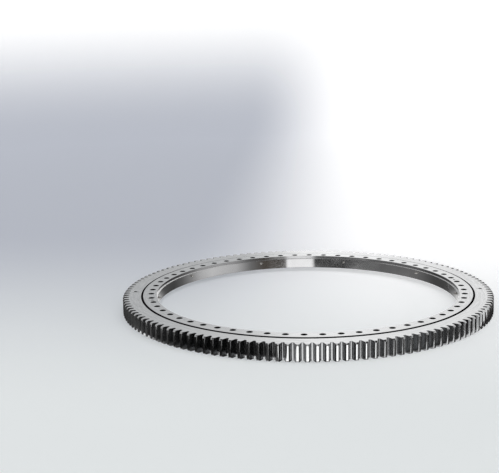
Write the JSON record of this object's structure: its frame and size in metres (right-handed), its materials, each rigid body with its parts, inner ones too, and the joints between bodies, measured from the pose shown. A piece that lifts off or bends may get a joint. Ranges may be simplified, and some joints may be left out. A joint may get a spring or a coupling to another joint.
{
  "type": "slewing ring bearing",
  "caption": "Single-row ball slewing ring: a bolted inner ring turns in an outer ring with external gear teeth, with seals, grease nipples and a ball loading plug.",
  "frame": {"origin": "middle of the gear ring's underside, on the axis of rotation", "axes": "+Z is the axis of rotation, from the gear ring's mounting face towards the inner ring's mounting face; +X points through a bolt hole of the inner ring"},
  "size_m": [1.35, 1.35, 0.062],
  "materials": {
    "gear_steel": "turned faces and milled teeth, satin, lightly oiled",
    "ring_steel": "fine turned and ground, satin",
    "ball_steel": "polished bearing steel balls with pale polymer spacers between them",
    "plug_steel": "turned, satin",
    "pin_steel": "ground, slightly dark",
    "nipple_steel": "zinc plated",
    "seal_rubber": "matt black nitrile rubber"
  },
  "bodies": {
    "gear_ring": {"outer_gear_ring": "gear_steel", "upper_seal": "seal_rubber"},
    "inner_ring": {"inner_ring": "ring_steel", "loading_plug": "plug_steel", "loading_plug_pin": "pin_steel", "lower_seal": "seal_rubber", "grease_nipple_01": "nipple_steel", "grease_nipple_02": "nipple_steel", "grease_nipple_03": "nipple_steel", "grease_nipple_04": "nipple_steel", "grease_nipple_05": "nipple_steel", "grease_nipple_06": "nipple_steel", "grease_nipple_07": "nipple_steel", "grease_nipple_08": "nipple_steel", "grease_nipple_09": "nipple_steel", "grease_nipple_10": "nipple_steel"},
    "ball_train": {"ball_chain_01": "ball_steel", "ball_chain_02": "ball_steel", "ball_chain_03": "ball_steel", "ball_chain_04": "ball_steel", "ball_chain_05": "ball_steel", "ball_chain_06": "ball_steel", "ball_chain_07": "ball_steel", "ball_chain_08": "ball_steel", "ball_chain_09": "ball_steel", "ball_chain_10": "ball_steel", "ball_chain_11": "ball_steel", "ball_chain_12": "ball_steel", "ball_chain_13": "ball_steel", "ball_chain_14": "ball_steel", "ball_chain_15": "ball_steel", "ball_chain_16": "ball_steel", "ball_chain_17": "ball_steel", "ball_chain_18": "ball_steel", "ball_chain_19": "ball_steel", "ball_chain_20": "ball_steel"}
  },
  "joints": [
    {"name": "slew", "type": "hinge", "parent": "gear_ring", "child": "inner_ring", "pos_m": [0, 0, 0.037], "axis": [0, 0, 1], "continuous": true},
    {"name": "ball_orbit", "type": "hinge", "parent": "gear_ring", "child": "ball_train", "pos_m": [0, 0, 0.037], "axis": [0, 0, 1], "continuous": true}
  ],
  "couplings": [
    {"joint": "ball_orbit", "follows": "slew", "ratio": 0.4927}
  ]
}
